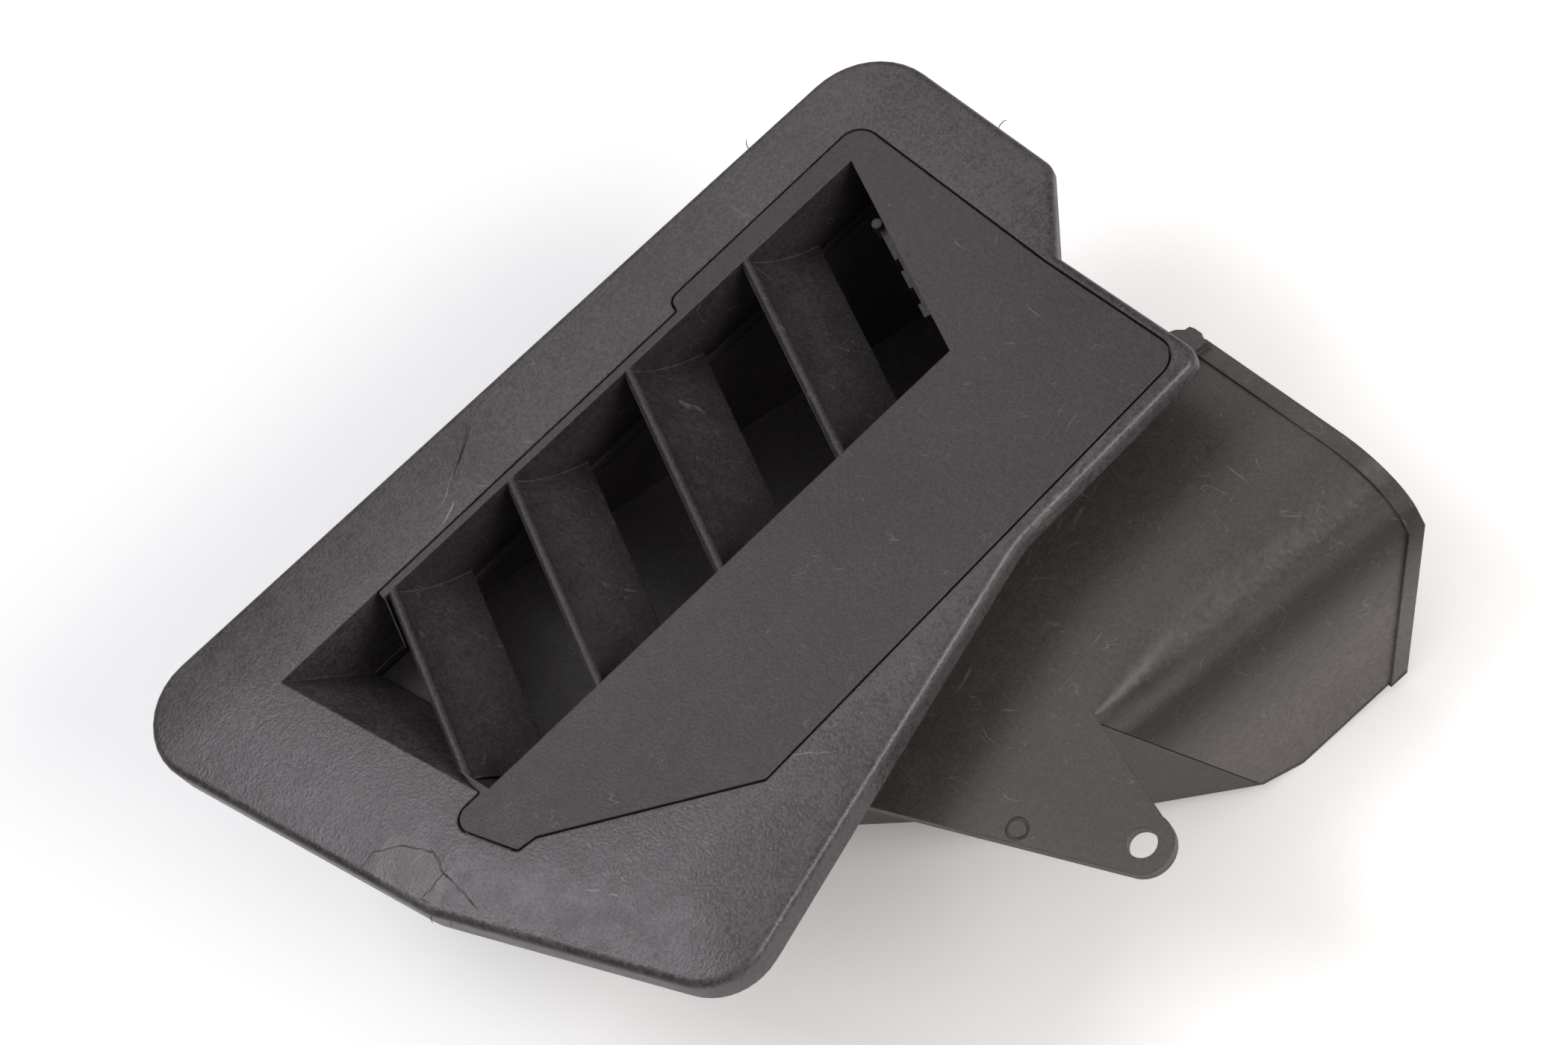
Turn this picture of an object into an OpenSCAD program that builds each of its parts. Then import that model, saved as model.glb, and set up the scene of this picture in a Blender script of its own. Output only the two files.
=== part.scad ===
// Side air intake vent: a moulded face panel with a slanted louvre, and the two-part duct behind it.
// Millimetres. +Z is the outward normal of the face, +X runs along the straight edge of the opening.
// The origin is the centre of the fixing hole, on the outer side of the ear.

/* [Whole part] */
// Length of the whole part, along the louvre and from the panel's end to the lip of the mouth
part_l = 249; // [246:0.5:252]

/* [Face panel] */
// Wall thickness of the face panel
panel_wall = 2.5; // [2.2:0.1:2.8]
// Radius of the rolled outer edge
edge_roll = 2; // [1.6:0.1:2.2]
// How far the face falls away towards its outer corners
crown_drop = 1.5; // [0.5:0.1:2]
// Depth of the return flange at the left and bottom edges
flange_deep = 10.2; // [9.5:0.1:11]
// Depth of the return flange at the narrow right end
flange_shallow = 5.6; // [5:0.1:6.5]
// Steepness of the sloping wall inside the left end of the opening
ramp_angle = 57; // [54:1:60]

/* [Louvre insert] */
// Thickness of the flat cover, and depth of the pocket it lies in
cover_t = 2.4; // [2.2:0.1:2.6]
// Gap round the insert in its pocket
seam_gap = 0.6; // [0.4:0.1:0.8]
// Wall thickness of the collar round the vanes
collar_t = 1.6; // [1.4:0.1:1.8]
// Depth of that collar below the face
collar_deep = 19; // [18:0.5:20]
// Spacing of the vanes along the opening
vane_pitch = 37.5; // [37:0.1:37.8]
// Slant of the vanes in the plane of the face
vane_slant = 16.1; // [15.5:0.1:16.5]
// Distance each vane runs along as it goes down
vane_run = 15.8; // [15:0.1:17]
// Depth of each vane below the face
vane_drop = 17; // [16:0.5:18]
// Thickness of a vane
vane_t = 1.8; // [1.6:0.1:2.2]
// Depth of the hollow in the face of a vane
vane_hollow = 1.8; // [1.2:0.1:2.2]
// Diameter of the round bead along the leading edge
bead_d = 2.4; // [2:0.1:3]

/* [Duct] */
// Depth of the flat duct wall below the face
duct_top = 24; // [24:0.5:25]
// Thickness of that flat wall and of the fixing ear
plate_t = 3.2; // [3:0.1:3.4]
// Thickness of the other duct walls
duct_wall = 2.5; // [2.2:0.1:2.8]
// Depth of the floor of the duct at its deepest line
duct_floor = 94; // [92:0.5:95]
// Rise of the floor from there to the mouth
floor_rise = 7.2; // [6:0.2:8]
// Outward lean of the long side wall
wall_lean = 8; // [7:0.1:8.5]
// Radius of the shoulder between flat wall and side wall
shoulder_r = 18; // [16:0.5:19]
// Width of the lip round the mouth
lip_w = 4.2; // [3.5:0.1:5]
// How far that lip stands proud
lip_proud = 0.9; // [0.6:0.1:1.2]

/* [Fixings] */
// Diameter of the hole in the fixing ear
ear_hole_d = 7; // [6.4:0.1:7.4]
// Radius of the rounded end of the ear
ear_end_r = 7.3; // [7:0.1:8]
// Diameter of the tapping screws
screw_d = 3.5; // [3.2:0.1:3.6]
// Length of the screws under the head
screw_l = 13; // [12:0.5:15]
// Diameter of the screw heads
screw_head_d = 7; // [6.5:0.1:7.5]
// Clearance round each screw
screw_fit = 0.35; // [0.3:0.05:0.5]

/* [Hidden] */
far = 300;
arc_steps = 10;
black = [0.16, 0.16, 0.16];
satin = [0.21, 0.21, 0.21];
steel = [0.45, 0.45, 0.46];

// The tables below are drawn for this length, and their places lie further apart in a longer part
drawn_l = 249;
function along(x) = x * part_l / drawn_l;
function longer(t) = [
  for (p = t) [for (k = [0:len(p) - 1]) k == 0 ? along(p[0]) : p[k]]
];

// Corners of the outlines, counter-clockwise: x, y, radius
panel_outline = longer([
  [-129.8, 53.7, 17.3],
  [-98, -42, 18],
  [-59, -108.8, 16],
  [54, -75.2, 34],
  [112.7, -72.2, 4.5],
  [106.8, -27.6, 2],
  [121.9, -8.1, 5],
  [116.2, 53.7, 20]
]);
// The level middle of the face, corner for corner with the outline above
level_outline = longer([
  [-98, 37, 5],
  [-86, -38, 5],
  [-52, -87, 5],
  [52, -72.7, 20],
  [108.2, -67.4, 3],
  [102.4, -28.2, 2],
  [99.9, 6, 3],
  [97.4, 38, 5]
]);
corner_drop = [1, 0.9, 1.2, 0.05, 0.05, 0.05, 0.9, 1] * crown_drop;
// The falling surfaces run on past the level middle by this much, and are cut off level
run_on = 3;
run_rise = 0.2;
// The pocket the insert lies in, from the nose round to the thin strip
pocket_outline = longer([
  [-71.6, -29, 0.5],
  [-82.3, -29.3, 4],
  [-73.6, -47.4, 1.6],
  [-68.4, -48, 2],
  [-22.2, -76.6, 1.5],
  [109.8, -68.6, 6],
  [104.2, -26.8, 20],
  [98.8, 36.4, 6.5],
  [35.8, 35.2, 3],
  [36.4, 31.4, 0.6],
  [-59.8, 29.75, 0.5],
  [-59.8, 26.4, 0.5],
  [-72.4, -19.6, 0.8]
]);
// Inner edge of the insert round the vanes
window = longer([[-58.9, 27.3], [-72, -19.7], [-69.2, -30.2], [74.1, -27.4], [90.5, 29.3]]);
window_out = inset([for (p = window) [p[0], p[1], 0]], -collar_t);
// Outside of the collar: it has no wall at the left end
collar = [
  [window[0][0] + 0.3, window_out[0][1]],
  [window[1][0] + 0.3, window[1][1]],
  [window[2][0] + 0.2, window_out[2][1]],
  xy(window_out[3]),
  xy(window_out[4])
];
// Throat of the panel, and where it meets the flat duct wall
throat_outline = longer([[-90, 29.2, 0.5], [-70.6, -32.4, 1], [75.9, -30, 1.5], [93.6, 32.4, 1.5]]);
throat_foot = longer([[-73.6, 29.2], [-54.4, -32.3], [75.9, -30], [93.6, 32.4]]);
throat_wall = 2.2;
throat_turn = -72.4;
tray_t = 2;
ramp_gap = 0.6;

vane_first = [-57.6, 28];
vane_count = 4;

ear = [along(28.6), -137.3];
mark = [along(11.2), -114.7];
mark_d = 5.5;
mark_deep = 0.4;
// The flat duct wall, with the ear at the foot of the list
plate_outline = longer([
  [-86, 42, 6],
  [-72, -46, 6],
  [-36, -75.5, 5],
  [-14.4, -77.2, 4],
  [22.3, -140.95, 0.5],
  [35.8, -136, 0.5],
  [41.6, -103.5, 1.5],
  [60, -95, 2],
  [140, -95, 2],
  [140, -59.5, 0.6],
  [119, -59.5, 0.6],
  [116.2, -51, 2],
  [108.8, -46.5, 3],
  [108, -16, 4],
  [104, 42, 6]
]);
flange_outline = longer([
  [-85, 41, 5],
  [-69, -44, 5],
  [-34, -71.5, 4],
  [-12, -73, 3],
  [23, -101, 2],
  [35.5, -108, 2],
  [44, -100, 1],
  [98, -62, 1],
  [108, -48, 2],
  [107, -16, 4],
  [103, 41, 5]
]);
chamber_outline = longer([
  [-77, 34, 6],
  [-61, -36, 8],
  [31, -102.5, 3],
  [75, -92, 3],
  [98, -88, 3],
  [98, -46, 2],
  [95.5, 34.6, 6]
]);
mouth_outline = longer([[27, -140, 1], [150, -140, 1], [150, -75.7, 1], [98, -46, 5], [27, -46, 1]]);
wall_line = -110.2;
wall_turn = 4.3;
turn_x = along(75);
section_h = 105;
crest_steps = 24;
// Rounding of the shoulder at places along the side wall, counted from turn_x
shoulder_run = [[-82, 2.5], [-33, 2.5], [-5, shoulder_r], [80, shoulder_r]];
rear_point = [along(10), -92.3, -duct_top];
rear_turn = -28;
rear_lean = 1.3;
mouth_point = [along(126.1), -114, -duct_top];
mouth_turn = 6.6;
// How far back the mouth leans, above and below its knee
mouth_leans = [2, 25.4];
mouth_knee = [along(125.3), -118, -47];
ramp_point = [along(-50), 42, -32.6];
ramp_turn = -19.7;
ramp_fall = 19.8;
floor_point = [along(74), -120, -duct_floor];
rim_t = 1;
split_gap = 0.3;
rib_at = [-95, -78, -15, 55];
rib_y = 34.5;
rib_l = 17.5;
rib_t = 1.6;
// The walls of the upper shell stand outside these lines, beside the floor and beside the mouth
zone_y = -82;
zone_x = along(98);
zone_end = -40;
section_w = 66;
split_top = [along(40.6), 27.2];
split_foot = [along(62.2), 89];

// Broken edge of what is left of a tab
stub_outline = longer([
  [109, -52],
  [112.4, -47.8],
  [114, -50.2],
  [116.2, -51.4],
  [117.6, -53],
  [118.8, -53.2],
  [120.1, -56.2],
  [118.9, -57.3],
  [119.1, -59.2],
  [111, -58]
]);
screw_at = longer([[-50, 39.2], [20, 39.6], [88, 41], [103.2, -36], [-30, -66.5]]);
boss_r = 3.9;
flange_t = 2.5;
head_h = 2.4;
ledge_z = 11;
ledge_t = 3;
ledge_w = 2;
ledge_from = 16;
ledge_l = 28;
ledge_turn = atan2(window[4][1] - window[3][1], window[4][0] - window[3][0]);
catch_at = [[22.5, 5], [32, 3.5]];
peg_r = 1.3;
hook_at = longer([[-45, -52, 0], [12, -67, 0], [72, -64, 0], [96.6, 18, 90]]);
hook_w = 8;
hook_t = 1.8;
hook_l = 5.4;
hook_catch = 1;

function xy(p) = [p[0], p[1]];
function unit(v) = v / norm(v);
function back(c, i) = unit(xy(c[(i + len(c) - 1) % len(c)]) - xy(c[i]));
function ahead(c, i) = unit(xy(c[(i + 1) % len(c)]) - xy(c[i]));
function half(c, i) = acos(back(c, i) * ahead(c, i)) / 2;
function bend(c, i) = cross(-back(c, i), ahead(c, i)) >= 0 ? 1 : -1;
function middle(c, i) = unit(back(c, i) + ahead(c, i));
function arc_start(c, i) =
  c[i][2] * (back(c, i) / tan(half(c, i)) - middle(c, i) / sin(half(c, i)));
// The rounded corner i of an outline, as arc_steps short edges
function corner(c, i) =
  let (
    o = xy(c[i]) + middle(c, i) * c[i][2] / sin(half(c, i)),
    s = arc_start(c, i),
    a = atan2(s[1], s[0]),
    t = bend(c, i) * (180 - 2 * half(c, i))
  )
  [for (j = [0:arc_steps]) o + c[i][2] * [cos(a + t * j / arc_steps), sin(a + t * j / arc_steps)]];
function rounded(c) = [for (i = [0:len(c) - 1]) each corner(c, i)];
// The same outline moved inwards by d
function inset(c, d) = [
  for (i = [0:len(c) - 1])
    let (p = xy(c[i]) + middle(c, i) * d * bend(c, i) / sin(half(c, i)))
    [p[0], p[1], max(c[i][2] - d * bend(c, i), 0.4)]
];
// One level of a skin: the outline c, with a height for each corner
function ring(c, h) = [for (i = [0:len(c) - 1]) for (p = corner(c, i)) [p[0], p[1], h[i]]];
function level(z) = [for (d = corner_drop) z];
function fallen(z) = [for (d = corner_drop) z - d];

// The pieces are drawn from the middle of the louvre opening and then set round the fixing hole
module seat() {
  translate([-ear[0], -ear[1], duct_top])
    children();
}

module skin(rings) {
  n = len(rings[0]);
  m = len(rings);
  polyhedron(
    points = [for (r = rings) each r],
    faces = concat(
      [[for (j = [0:n - 1]) j]],
      [
        for (a = [0:m - 2]) for (j = [0:n - 1]) for (f = [0, 1])
          f == 0
          ? [a * n + j, (a + 1) * n + j, (a + 1) * n + (j + 1) % n]
          : [a * n + j, (a + 1) * n + (j + 1) % n, a * n + (j + 1) % n]
      ],
      [[for (j = [n - 1:-1:0]) (m - 1) * n + j]]
    )
  );
}

// The half space above a plane through p that falls along the heading turn
module above(p, turn, fall, lift = 0) {
  translate(p)
    rotate([0, 0, turn])
      rotate([0, fall, 0])
        translate([-far, -far, lift])
          cube([2 * far, 2 * far, far]);
}

// Face panel
module cut_above(z) {
  translate([-far, -far, z])
    cube([2 * far, 2 * far, far]);
}

module panel_outside() {
  difference() {
    skin([
      ring(panel_outline, level(-14)),
      ring(panel_outline, fallen(-edge_roll)),
      for (a = [72, 54, 36, 18])
        ring(inset(panel_outline, edge_roll * (1 - sin(a))), fallen(edge_roll * (cos(a) - 1))),
      ring(inset(panel_outline, edge_roll), fallen(0)),
      ring(inset(level_outline, run_on), level(run_rise))
    ]);
    cut_above(0);
  }
}

module panel_inside() {
  difference() {
    skin([
      ring(inset(panel_outline, panel_wall), level(-15)),
      ring(inset(panel_outline, panel_wall), fallen(-panel_wall - 1)),
      ring(inset(panel_outline, panel_wall + 0.6), fallen(-panel_wall)),
      ring(inset(level_outline, run_on + 0.8), level(run_rise - panel_wall))
    ]);
    cut_above(-panel_wall);
  }
}

module flange_end() {
  rotate([90, 0, 0])
    linear_extrude(2 * far, center = true)
      polygon([
        [-150, -flange_deep],
        [-45, -flange_deep],
        [54, -flange_shallow],
        [150, -flange_shallow + 0.4],
        [150, -30],
        [-150, -30]
      ]);
}

// Space above the sloping wall at the left end of the throat
module over_ramp(lift) {
  translate([throat_outline[0][0], throat_outline[0][1], 0])
    rotate([0, 0, throat_turn])
      rotate([-ramp_angle, 0, 0])
        translate([-far, -far, lift])
          cube([2 * far, 2 * far, far]);
}

module throat_space() {
  intersection() {
    translate([0, 0, -duct_top - 1])
      linear_extrude(duct_top + 2)
        polygon(rounded(throat_outline));
    over_ramp(0);
  }
}

module throat_tube() {
  intersection() {
    translate([0, 0, -duct_top])
      linear_extrude(duct_top - 1)
        polygon(rounded(inset(throat_outline, -throat_wall)));
    over_ramp(-throat_wall);
  }
}

module pocket_floor() {
  translate([0, 0, -cover_t - tray_t])
    linear_extrude(tray_t + 0.3)
      polygon(rounded(inset(pocket_outline, -tray_t + 0.1)));
}

module pocket_space() {
  translate([0, 0, -cover_t])
    linear_extrude(cover_t + 1)
      polygon(rounded(pocket_outline));
}

module hook_slots() {
  for (h = hook_at)
    translate([h[0], h[1], -cover_t - tray_t - 1])
      rotate([0, 0, h[2]])
        translate([-hook_w / 2 - 1, -hook_t / 2 - 0.6, 0])
          cube([hook_w + 2, hook_t + 1.5, tray_t + 2]);
}

module bosses() {
  for (p = screw_at)
    translate([p[0], p[1], -duct_top])
      cylinder(r = boss_r, h = duct_top - 2.9, $fn = 32);
}

module boss_holes() {
  for (p = screw_at)
    translate([p[0], p[1], -duct_top - 1])
      cylinder(d = screw_d + 2 * screw_fit, h = screw_l - plate_t - flange_t + 2.5, $fn = 32);
}

// Thin ribs behind the flat areas of the panel
module panel_ribs() {
  for (x = rib_at)
    translate([along(x), rib_y, -flange_shallow])
      cube([rib_t, rib_l, flange_shallow - 2]);
}

module face_panel() {
  color(black) seat()
    difference() {
      union() {
        difference() {
          panel_outside();
          panel_inside();
          flange_end();
        }
        pocket_floor();
        throat_tube();
        bosses();
        panel_ribs();
      }
      throat_space();
      pocket_space();
      hook_slots();
      boss_holes();
    }
}

// Louvre insert
chord = norm([vane_run, vane_drop - bead_d / 2]);
hollow_r = chord * chord / (8 * vane_hollow) + vane_hollow / 2;
chord_fall = atan2(vane_drop - bead_d / 2, vane_run);

module vane_section() {
  mid = [vane_run / 2, -bead_d / 2 - (vane_drop - bead_d / 2) / 2];
  mid_up = [sin(chord_fall), cos(chord_fall)];
  eye = mid + mid_up * (hollow_r - vane_hollow);
  spread = asin(chord / 2 / hollow_r);
  translate([0, -bead_d / 2])
    circle(d = bead_d, $fn = 32);
  intersection() {
    translate(eye)
      difference() {
        circle(r = hollow_r + vane_t, $fn = 180);
        circle(r = hollow_r, $fn = 180);
      }
    translate(eye)
      rotate(-90 - chord_fall)
        polygon([
          [0, 0],
          2 * hollow_r * [cos(spread), -sin(spread)],
          2 * hollow_r * [cos(spread), sin(spread)]
        ]);
  }
}

// One vane, longer than the opening at both ends
module vane(i) {
  translate([along(vane_first[0] + i * vane_pitch), vane_first[1], 0])
    rotate([0, 0, -vane_slant])
      translate([bead_d / 2, 10, 0])
        rotate([90, 0, 0])
          linear_extrude(85)
            vane_section();
}

module hooks() {
  for (h = hook_at)
    translate([h[0], h[1], 0])
      rotate([0, 0, h[2]]) {
        translate([-hook_w / 2, -hook_t / 2, -cover_t - hook_l])
          cube([hook_w, hook_t, hook_l + 0.2]);
        translate([-hook_w / 2, -hook_t / 2, -cover_t - hook_l])
          rotate([90, 0, 90])
            linear_extrude(hook_w)
              polygon([
                [0, 0],
                [0, hook_l - tray_t - 0.3],
                [-hook_catch, hook_l - tray_t - 0.3],
                [-hook_catch, 1.4]
              ]);
      }
}

// Ledge with catches inside the right-hand collar wall
module catch_ledge() {
  translate([window[3][0], window[3][1], -ledge_z])
    rotate([0, 0, ledge_turn]) {
      difference() {
        translate([ledge_from, -0.4, 0])
          cube([ledge_l, ledge_w + 0.4, ledge_t]);
        for (c = catch_at)
          translate([c[0] - c[1] / 2, ledge_w - 0.9, -1])
            cube([c[1], 2, ledge_t + 2]);
      }
      translate([ledge_from + ledge_l, ledge_w - 0.3, 0])
        cylinder(r = peg_r, h = ledge_t + 2, $fn = 32);
    }
}

module louvre_insert() {
  color(satin) seat() {
    difference() {
      translate([0, 0, -cover_t])
        linear_extrude(cover_t)
          polygon(rounded(inset(pocket_outline, seam_gap)));
      translate([0, 0, -cover_t - 1])
        linear_extrude(cover_t + 2)
          polygon(window);
    }
    // collar walls on three sides of the vanes
    intersection() {
      difference() {
        translate([0, 0, -collar_deep])
          linear_extrude(collar_deep - 0.4)
            polygon(collar);
        translate([0, 0, -collar_deep - 1])
          linear_extrude(collar_deep + 2)
            polygon(window);
      }
      over_ramp(ramp_gap);
    }
    intersection() {
      union() {
        for (i = [0:vane_count - 1])
          vane(i);
      }
      translate([0, 0, -collar_deep])
        linear_extrude(collar_deep + 2)
          polygon([
            [-58.9, 28.2],
            [-72, -19.7],
            [-69.6, -30.6],
            [74.6, -28.2],
            [91.4, 30]
          ]);
      over_ramp(ramp_gap);
    }
    hooks();
    catch_ledge();
  }
}

// Duct
// Centre of the shoulder's rounding r in the section across the side wall: inwards, up
function crest(o, r) = [
  (o + r - (o + r) * sin(wall_lean)) / cos(wall_lean),
  -duct_top - o - r
];
function crest_at(j) = 90 + (90 - wall_lean) * j / crest_steps;
wall_ahead = [cos(wall_turn), -sin(wall_turn)];
wall_in = [sin(wall_turn), cos(wall_turn)];
// Level u along the side wall of the skin of the duct, with the rounding r and every wall moved in by o
function wall_ring(o, r, u) =
  let (
    q = max(r - o, 0.5),
    c = crest(o, q),
    t = c + q * [-cos(wall_lean), sin(wall_lean)],
    path = concat(
      [[section_w, c[1] + q]],
      [for (j = [0:crest_steps]) c + q * [cos(crest_at(j)), sin(crest_at(j))]],
      [[t[0] - (t[1] + section_h) * tan(wall_lean), -section_h], [section_w, -section_h]]
    )
  )
  [for (p = path) let (h = [turn_x, wall_line] + u * wall_ahead + p[0] * wall_in) [h[0], h[1], p[1]]];

// The long side wall with its shoulder, from behind the ear to past the mouth
module side_part(o) {
  difference() {
    intersection() {
      skin([for (w = shoulder_run) wall_ring(o, w[1], along(w[0]))]);
      translate([0, 0, -section_h - 1])
        linear_extrude(section_h + 1)
          polygon(rounded(inset(mouth_outline, o)));
    }
    outside_rear(o);
  }
}

// What lies outside the flat facet behind the ear
module outside_rear(o) {
  translate(rear_point)
    rotate([0, 0, rear_turn])
      rotate([rear_lean, 0, 0])
        translate([-far, -2 * far + o, -far])
          cube([2 * far, 2 * far, 2 * far]);
}

module rear_part(o) {
  translate([0, 0, -110])
    linear_extrude(110 - duct_top)
      polygon(rounded(inset(chamber_outline, o)));
}

module whole_body(o) {
  side_part(o);
  rear_part(o);
}

// The space over the sloping back of the duct and over its floor
module over_floor(lift) {
  intersection() {
    above(ramp_point, ramp_turn, ramp_fall, lift);
    above(floor_point, ramp_turn, -floor_rise, lift);
  }
}

module body(o, lift) {
  intersection() {
    union()
      whole_body(o);
    over_floor(lift);
  }
}

module under_plate() {
  translate([-far, -far, -far - duct_top - plate_t])
    cube([2 * far, 2 * far, far]);
}

// The hollow of the duct, under the flat wall
module duct_hollow() {
  intersection() {
    body(duct_wall, duct_wall);
    under_plate();
  }
}

module beyond_mouth(lift = 0) {
  for (k = [0, 1])
    translate(k == 0 ? mouth_point : mouth_knee)
      rotate([0, 0, mouth_turn])
        rotate([0, mouth_leans[k], 0])
          translate([-lift, -far, -far])
            cube([2 * far, 2 * far, 2 * far]);
}

module lip() {
  intersection() {
    side_part(-lip_proud);
    beyond_mouth(lip_w);
    over_floor(0);
  }
}

// The side of the split that belongs to the upper shell
module upper_side(g) {
  translate([0, zone_end, 0])
    rotate([90, 0, 0])
      linear_extrude(far)
        polygon([
          [split_top[0] - g, 10],
          [split_top[0] - g, -split_top[1]],
          [split_foot[0] - g, -split_foot[1]],
          [split_foot[0] - g, -far],
          [far, -far],
          [far, 10]
        ]);
}

module below_rim(g) {
  difference() {
    translate([0, -far, -far])
      cube([far, far, far - duct_top]);
    over_floor(rim_t - g);
  }
}

// Where the walls of the upper shell stand, with a gap g round them
module wall_zone(g) {
  difference() {
    intersection() {
      upper_side(g);
      union() {
        translate([0, -far, -far])
          cube([far, far + zone_y, 2 * far]);
        translate([zone_x - g, zone_y - 1, -far])
          cube([far, zone_end - zone_y + 1, 2 * far]);
      }
    }
    intersection() {
      whole_body(duct_wall + g);
      under_plate();
    }
    // the floor keeps a rim under these walls
    below_rim(g);
  }
}

module upper_duct_shell() {
  color(black) seat()
    difference() {
      union() {
        translate([0, 0, -duct_top - plate_t])
          linear_extrude(plate_t)
            union() {
              polygon(rounded(plate_outline));
              translate(ear)
                circle(r = ear_end_r, $fn = 48);
            }
        intersection() {
          union() {
            body(0, 0);
            lip();
          }
          wall_zone(0);
        }
        // what is left of a tab that has snapped off
        translate([0, 0, -duct_top - 0.5])
          linear_extrude(3.4)
            polygon(stub_outline);
      }
      duct_hollow();
      beyond_mouth();
      translate([0, 0, -duct_top - plate_t - 1])
        linear_extrude(plate_t + 2)
          polygon(throat_foot);
      translate([ear[0], ear[1], -duct_top - plate_t - 1])
        cylinder(d = ear_hole_d, h = plate_t + 2, $fn = 48);
      translate([mark[0], mark[1], -duct_top - mark_deep])
        difference() {
          cylinder(d = mark_d, h = 1, $fn = 32);
          translate([0, 0, -1])
            cylinder(d = mark_d - 1.2, h = 3, $fn = 32);
        }
      for (p = screw_at)
        translate([p[0], p[1], -duct_top - plate_t - 1])
          cylinder(d = screw_d + 2 * screw_fit, h = plate_t + 2, $fn = 32);
    }
}

module lower_duct_shell() {
  color(satin) seat()
    difference() {
      union() {
        intersection() {
          body(0, 0);
          under_plate();
        }
        translate([0, 0, -duct_top - plate_t - flange_t])
          linear_extrude(flange_t)
            polygon(rounded(flange_outline));
        lip();
      }
      duct_hollow();
      wall_zone(split_gap);
      beyond_mouth();
      for (p = screw_at)
        translate([p[0], p[1], -duct_top - plate_t - flange_t - 1])
          cylinder(d = screw_d + 2 * screw_fit, h = flange_t + 2, $fn = 32);
    }
}

module screw() {
  cylinder(d = screw_d, h = screw_l, $fn = 32);
  difference() {
    translate([0, 0, -head_h])
      cylinder(d = screw_head_d, h = head_h, $fn = 32);
    for (a = [0, 90])
      rotate([0, 0, a])
        translate([-screw_head_d * 0.28, -0.55, -head_h - 1])
          cube([screw_head_d * 0.56, 1.1, 2.3]);
  }
}

module fixing_screws() {
  color(steel) seat()
    for (p = screw_at)
      translate([p[0], p[1], -duct_top - plate_t - flange_t])
        screw();
}

face_panel();
louvre_insert();
upper_duct_shell();
lower_duct_shell();
fixing_screws();
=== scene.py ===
"""The looks of a side air intake vent: moulded black plastic with the marks of use, on pale paper.

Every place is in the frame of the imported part. The tables of marks and the names that end in _mm
are in millimetres, the names that end in _deg in degrees, and all other sizes in metres.
"""

import math

import bmesh
import bpy
from mathutils import Matrix, Vector


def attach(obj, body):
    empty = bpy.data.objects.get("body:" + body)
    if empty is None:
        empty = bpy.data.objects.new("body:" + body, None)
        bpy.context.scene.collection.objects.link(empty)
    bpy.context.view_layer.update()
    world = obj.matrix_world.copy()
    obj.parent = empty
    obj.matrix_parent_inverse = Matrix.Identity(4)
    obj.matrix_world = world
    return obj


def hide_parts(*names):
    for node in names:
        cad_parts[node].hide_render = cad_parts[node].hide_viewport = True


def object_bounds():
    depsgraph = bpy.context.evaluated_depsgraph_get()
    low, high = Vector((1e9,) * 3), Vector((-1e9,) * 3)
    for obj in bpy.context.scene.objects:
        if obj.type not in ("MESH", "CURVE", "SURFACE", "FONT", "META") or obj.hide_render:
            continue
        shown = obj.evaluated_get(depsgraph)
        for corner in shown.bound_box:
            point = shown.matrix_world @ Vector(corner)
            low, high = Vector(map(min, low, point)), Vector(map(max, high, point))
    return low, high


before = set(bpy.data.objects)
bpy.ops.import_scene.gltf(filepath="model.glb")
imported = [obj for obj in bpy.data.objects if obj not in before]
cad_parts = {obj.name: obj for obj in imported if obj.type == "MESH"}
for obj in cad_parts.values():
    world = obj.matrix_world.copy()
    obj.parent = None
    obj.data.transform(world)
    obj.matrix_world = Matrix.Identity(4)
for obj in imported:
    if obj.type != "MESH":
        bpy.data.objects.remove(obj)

bl_info = {
    "name": "Side Air Intake Vent",
    "version": (1, 0, 0),
    "blender": (4, 5, 0),
    "location": "View3D > Sidebar > Vent",
    "description": "Dresses the air intake vent and sets up its studio",
    "category": "Object",
}

MM = 0.001
CAD_BOX = [list(v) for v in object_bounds()]

# Sockets of a Mix node that blends colours: the share of the second, the two, and the result
SHARE, FIRST, SECOND, BLEND = 0, 6, 7, 2
# A MapRange node takes a value, the low and high to read it by, and what those two become
SMOOTH = {"interpolation_type": "SMOOTHSTEP"}


# Colours and nodes


def linear(hex_code):
    """An sRGB colour written as six hex digits, as linear RGBA."""
    parts = [int(hex_code[i : i + 2], 16) / 255 for i in (0, 2, 4)]
    return tuple(
        c / 12.92 if c <= 0.04045 else ((c + 0.055) / 1.055) ** 2.4 for c in parts
    ) + (1.0,)


def add(tree, kind, inputs=(), out=0, **settings):
    """One node with its settings, and the socket that it gives.

    The inputs are named in a dict or stand in order in a list. Each is a value or the socket
    that feeds it.
    """
    node = tree.nodes.new("ShaderNode" + kind)
    for key, value in settings.items():
        setattr(node, key, value)
    pairs = inputs.items() if isinstance(inputs, dict) else enumerate(inputs)
    for key, value in pairs:
        if isinstance(value, bpy.types.NodeSocket):
            tree.links.new(value, node.inputs[key])
        else:
            node.inputs[key].default_value = value
    return node.outputs[out] if node.outputs else None


def sum_of(tree, start, *parts):
    """start and every other pattern, each of them times its own weight."""
    for value, weight in parts:
        start = add(tree, "Math", [value, weight, start], operation="MULTIPLY_ADD")
    return start


def most_of(tree, masks):
    """The highest of several masks."""
    result = masks[0]
    for mask in masks[1:]:
        result = add(tree, "Math", [result, mask], operation="MAXIMUM")
    return result


def blank_material(name):
    """A new material, its empty node tree and the place on the part."""
    material = bpy.data.materials.new(name)
    material.use_nodes = True
    tree = material.node_tree
    tree.nodes.clear()
    return material, tree, add(tree, "TexCoord", out="Object")


# Marks, read off as places on the part

FACE_Z_MM = 24.0
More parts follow.
